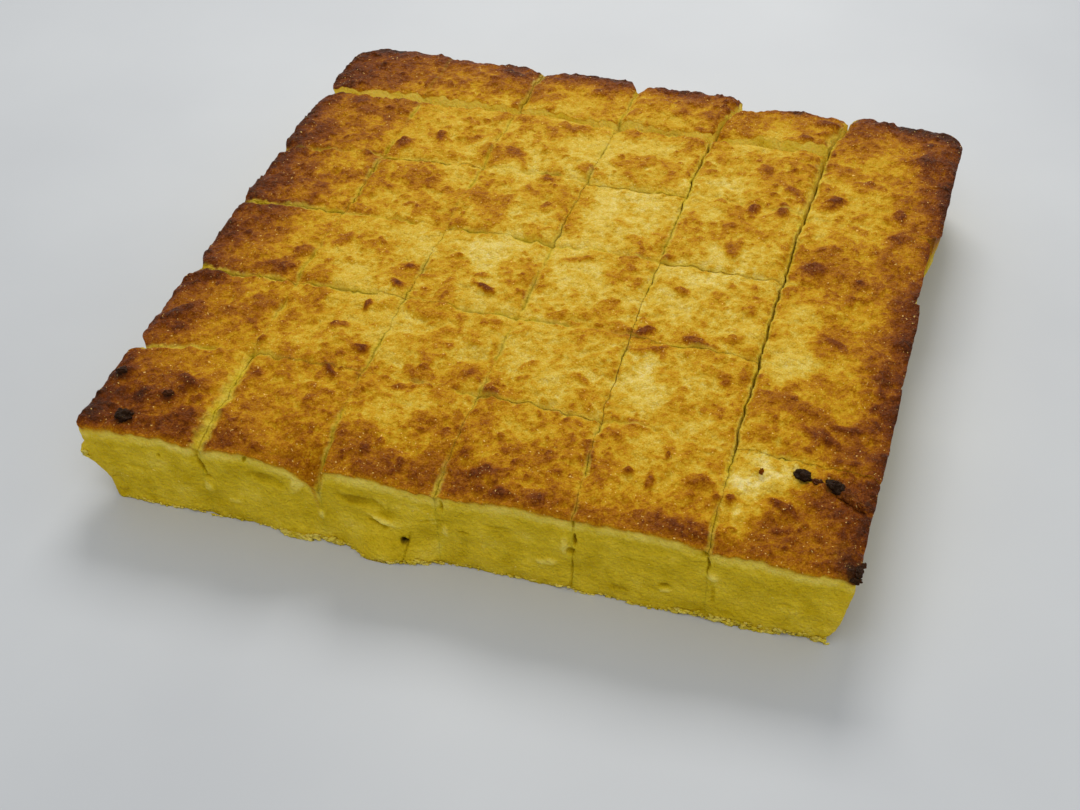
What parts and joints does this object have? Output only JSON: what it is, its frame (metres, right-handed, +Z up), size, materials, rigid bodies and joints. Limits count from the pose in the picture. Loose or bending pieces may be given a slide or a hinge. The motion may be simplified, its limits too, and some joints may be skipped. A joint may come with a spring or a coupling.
{
  "type": "cassava cake",
  "caption": "Square tray-baked cassava cake with a browned, blistered crust, hand-cut into squares that still stand together as the whole.",
  "frame": {"origin": "middle of the bounding box, on the flat base", "axes": "+Z up through the cake's thickness, -Y towards the front side, +X to the right seen from the front"},
  "size_m": [0.2376, 0.2294, 0.0367],
  "materials": {
    "rim_pieces": "browned, slightly oily crust over yellow crumb; plastic stands in for baked cassava",
    "middle_pieces": "golden, lightly blotched crust over yellow crumb; plastic stands in for baked cassava"
  },
  "bodies": {
    "root": {"piece_row1_column1": "rim_pieces", "piece_row1_column2": "rim_pieces", "piece_row1_column3": "rim_pieces", "piece_row1_column4": "rim_pieces", "piece_row1_column5": "rim_pieces", "piece_row1_column6": "rim_pieces", "piece_row2_column1": "rim_pieces", "piece_row2_column2": "middle_pieces", "piece_row2_column3": "middle_pieces", "piece_row2_column4": "middle_pieces", "piece_row2_column5": "middle_pieces", "piece_row2_column6": "rim_pieces", "piece_row3_column1": "rim_pieces", "piece_row3_column2": "middle_pieces", "piece_row3_column3": "middle_pieces", "piece_row3_column4": "middle_pieces", "piece_row3_column5": "middle_pieces", "piece_row3_column6": "rim_pieces", "piece_row4_column1": "rim_pieces", "piece_row4_column2": "middle_pieces", "piece_row4_column3": "middle_pieces", "piece_row4_column4": "middle_pieces", "piece_row4_column5": "middle_pieces", "piece_row4_column6": "rim_pieces", "piece_row5_column1": "rim_pieces", "piece_row5_column2": "middle_pieces", "piece_row5_column3": "middle_pieces", "piece_row5_column4": "middle_pieces", "piece_row5_column5": "middle_pieces", "piece_row5_column6": "rim_pieces", "piece_row6_column1": "rim_pieces", "piece_row6_column2": "rim_pieces", "piece_row6_column3": "rim_pieces", "piece_row6_column4": "rim_pieces", "piece_row6_column5": "rim_pieces"}
  },
  "joints": []
}
